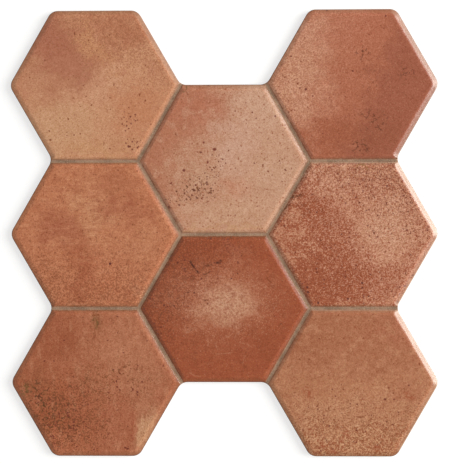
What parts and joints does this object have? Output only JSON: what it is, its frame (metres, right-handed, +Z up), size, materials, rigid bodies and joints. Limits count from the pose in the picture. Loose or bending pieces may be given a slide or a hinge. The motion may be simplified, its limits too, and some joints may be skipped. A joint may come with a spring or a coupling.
{
  "type": "hexagon floor tile",
  "caption": "Pressed ceramic floor plate moulded as cushion-edged hexagons with grouted joints between them; its bays and notches let plates interlock.",
  "frame": {"origin": "middle of the bed, on the surface that the plate lies on", "axes": "+Z up, out of the face; +Y along the columns of fields, towards the top of the picture; +X towards the right of the picture"},
  "size_m": [0.4296, 0.45, 0.01],
  "materials": {
    "terracotta_face": "satin",
    "grout": "matte"
  },
  "bodies": {
    "root": {"tile_plate": "terracotta_face", "joint_grout": "grout"}
  },
  "joints": []
}
